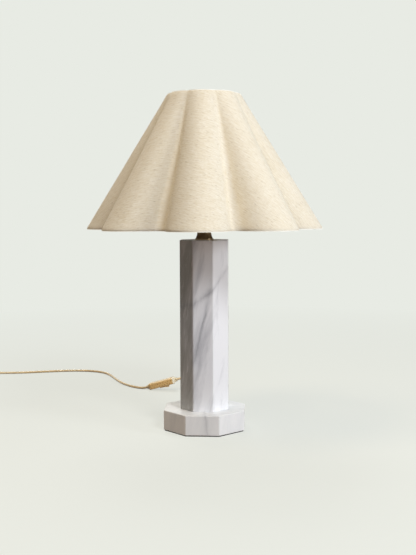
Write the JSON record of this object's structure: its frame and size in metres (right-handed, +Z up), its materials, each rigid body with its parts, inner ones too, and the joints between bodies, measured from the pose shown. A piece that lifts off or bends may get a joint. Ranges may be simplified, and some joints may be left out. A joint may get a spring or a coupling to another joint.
{
  "type": "column table lamp",
  "caption": "Table lamp with an eight-sided marble column on a marble plinth, a petal-shaped linen shade and a cord with an in-line rocker switch.",
  "frame": {"origin": "on the floor, on the axis of the column", "axes": "+Z up the column, -Y towards the front, +Y towards the cord"},
  "size_m": [0.8098, 0.6959, 0.558],
  "materials": {
    "marble": "honed white marble with grey veins",
    "felt": "pressed felt",
    "steel": "zinc plated",
    "bronze": "dark bronze patina",
    "bakelite": "dark brown moulded, satin",
    "ceramic": "unglazed white",
    "contact_brass": "bright",
    "bulb_glass": "frosted inside",
    "bulb_metal": "rolled, bright",
    "bulb_insulator": "black glass foot with a solder contact",
    "linen": "natural slubbed linen",
    "lining": "white laminate behind the linen",
    "white_wire": "white coated wire",
    "cord_gold": "golden beige flexible cord",
    "core_brown": "insulated wire",
    "switch_gold": "golden beige moulding",
    "sleeve_cream": "pale moulded sleeve",
    "tie_white": "soft strap",
    "plug_gold": "golden beige moulding",
    "nickel": "nickel plated"
  },
  "bodies": {
    "lamp": {"felt_pad": "felt", "plinth": "marble", "column": "marble", "threaded_rod": "steel", "bottom_washer": "steel", "lock_washer": "steel", "bottom_nut": "steel", "top_washer": "steel", "top_nut": "steel", "column_cap": "bronze", "holder_dome": "bakelite", "holder_insert": "ceramic", "holder_terminals": "contact_brass", "screw_shell": "contact_brass", "centre_contact": "contact_brass", "holder_sleeve": "bakelite", "lower_shade_ring": "bakelite", "upper_shade_ring": "bakelite", "cord_bush": "cord_gold", "inner_cord": "cord_gold", "core_wires": "core_brown", "cord_to_switch": "cord_gold", "switch_front_shell": "switch_gold", "switch_back_shell": "switch_gold", "switch_screws": "steel", "switch_sleeves": "sleeve_cream", "switch_leads": "cord_gold", "rocker_pin": "steel", "switch_contacts": "contact_brass", "cord_to_coil": "cord_gold", "cord_coil": "cord_gold", "cord_tie": "tie_white", "cord_to_plug": "cord_gold", "plug_body": "plug_gold", "plug_pins": "nickel", "plug_pin_sleeves": "sleeve_cream"},
    "shade": {"shade_linen": "linen", "shade_lining": "lining", "bottom_wire": "white_wire", "top_wire": "white_wire", "fitter_ring": "white_wire", "spider_arms": "white_wire"},
    "bulb": {"bulb_glass": "bulb_glass", "bulb_cap": "bulb_metal", "bulb_tip": "bulb_insulator"},
    "rocker": {"switch_rocker": "switch_gold"}
  },
  "joints": [
    {"name": "shade_turn", "type": "hinge", "parent": "lamp", "child": "shade", "pos_m": [0, 0, 0.3665], "axis": [0, 0, 1], "continuous": true},
    {"name": "bulb_out", "type": "slide", "parent": "lamp", "child": "bulb", "axis": [0, 0, 1], "range_m": [0, 0.03]},
    {"name": "rocker_tilt", "type": "hinge", "parent": "lamp", "child": "rocker", "pos_m": [-0.10167, 0.30601, 0.01105], "axis": [-0.0628, -0.998, 0], "range_deg": [0, 14]}
  ]
}
